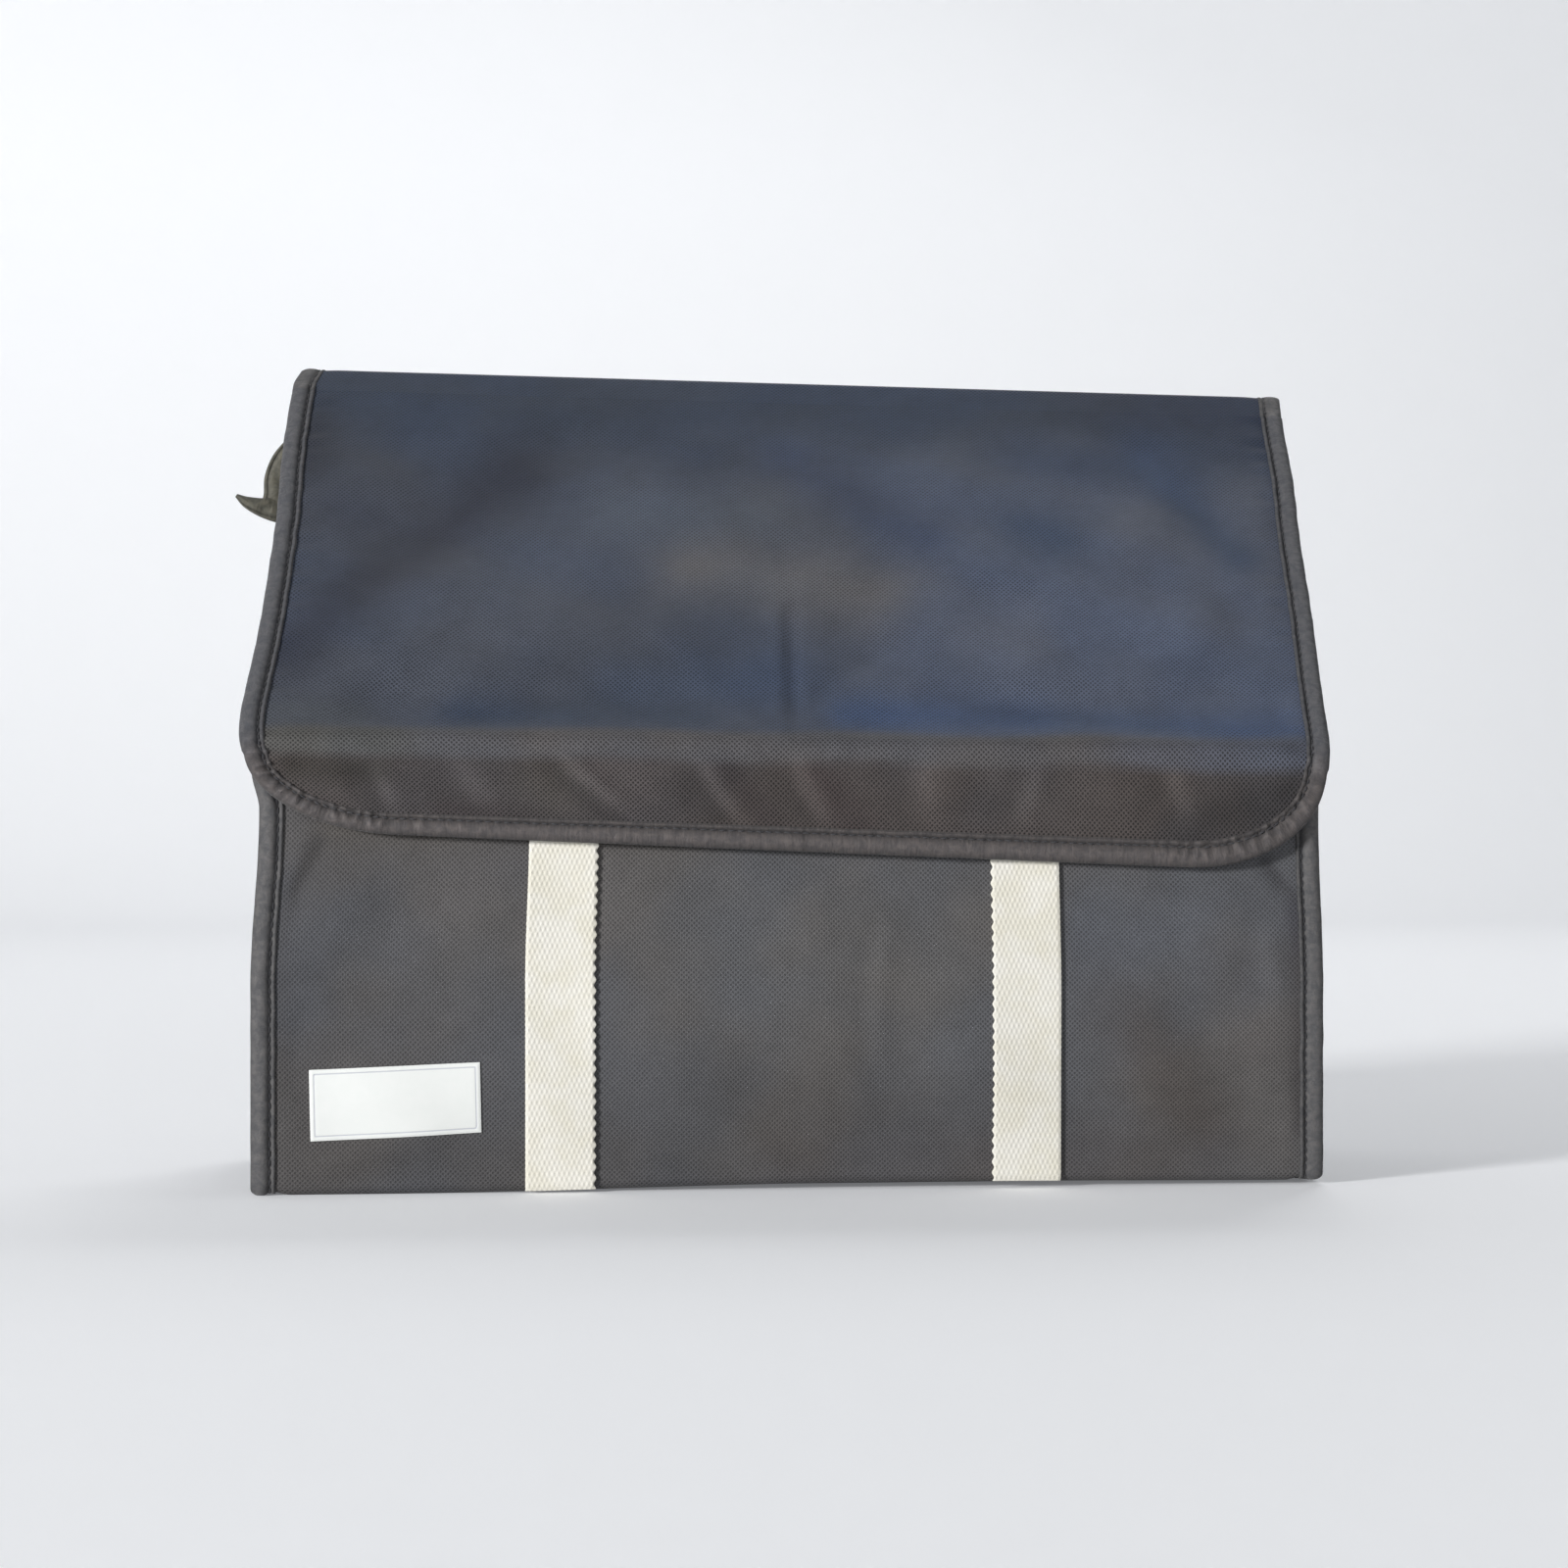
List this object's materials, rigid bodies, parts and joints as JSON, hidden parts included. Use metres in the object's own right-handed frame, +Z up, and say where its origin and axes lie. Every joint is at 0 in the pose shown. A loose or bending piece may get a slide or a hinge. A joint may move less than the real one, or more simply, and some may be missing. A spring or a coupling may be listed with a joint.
{
  "type": "insulated tote bag",
  "caption": "Standing insulated tote with a sloping flap lid that folds over the front, padded foil-lined walls, bound edges and webbing straps that run into two carrying handles.",
  "frame": {"origin": "middle of the base, on the surface the bag stands on", "axes": "+X to the bag's right as seen from the front, the front faces -Y, +Z up; X is the longest side and Y the shortest"},
  "size_m": [0.4174, 0.1514, 0.31],
  "materials": {
    "shell": "spunbond non-woven with point bonds, slight sheen",
    "foam": "closed-cell foam sheet",
    "liner": "metallised film",
    "board": "matte board",
    "binding": "soft non-woven tape, stitched",
    "webbing": "woven webbing with a looped inner edge",
    "closure": "hook and loop tape",
    "label": "smooth printed-cloth base, blank"
  },
  "bodies": {
    "bag": {"front_shell": "shell", "back_shell": "shell", "base_shell": "shell", "left_gusset_shell": "shell", "right_gusset_shell": "shell", "front_foam": "foam", "back_foam": "foam", "base_foam": "foam", "left_gusset_foam": "foam", "right_gusset_foam": "foam", "front_liner": "liner", "back_liner": "liner", "base_liner": "liner", "left_gusset_liner": "liner", "right_gusset_liner": "liner", "base_board": "board", "front_binding_left": "binding", "front_binding_right": "binding", "back_binding_left": "binding", "back_binding_right": "binding", "base_binding_left": "binding", "base_binding_right": "binding", "left_rim_binding": "binding", "right_rim_binding": "binding", "front_rim_binding": "binding", "front_strap_left": "webbing", "front_strap_right": "webbing", "back_strap_left": "webbing", "back_strap_right": "webbing", "loop_tape": "closure", "label_patch": "label"},
    "flap": {"flap_shell": "shell", "flap_foam": "foam", "flap_liner": "liner", "flap_binding_left": "binding", "flap_binding_right": "binding"},
    "lip": {"lip_shell": "shell", "lip_foam": "foam", "lip_liner": "liner", "lip_binding": "binding", "hook_tape": "closure"},
    "front_grip": {"front_handle": "webbing"},
    "back_grip": {"back_handle": "webbing"}
  },
  "joints": [
    {"name": "flap_hinge", "type": "hinge", "parent": "bag", "child": "flap", "pos_m": [0, 0.0676, 0.3076], "axis": [-1, 0, 0], "range_deg": [0, 130]},
    {"name": "lip_fold", "type": "hinge", "parent": "flap", "child": "lip", "pos_m": [0, -0.0754, 0.1615], "axis": [-1, 0, 0], "range_deg": [0, 60]},
    {"name": "front_handle_swing", "type": "hinge", "parent": "bag", "child": "front_grip", "pos_m": [0, -0.0715, 0.15984], "axis": [1, 0, 0], "range_deg": [0, 44.2]},
    {"name": "back_handle_swing", "type": "hinge", "parent": "bag", "child": "back_grip", "pos_m": [0, 0.0727, 0.262], "axis": [1, 0, 0], "range_deg": [0, 178]}
  ],
  "couplings": [
    {"joint": "front_handle_swing", "follows": "flap_hinge", "ratio": 0.34}
  ]
}
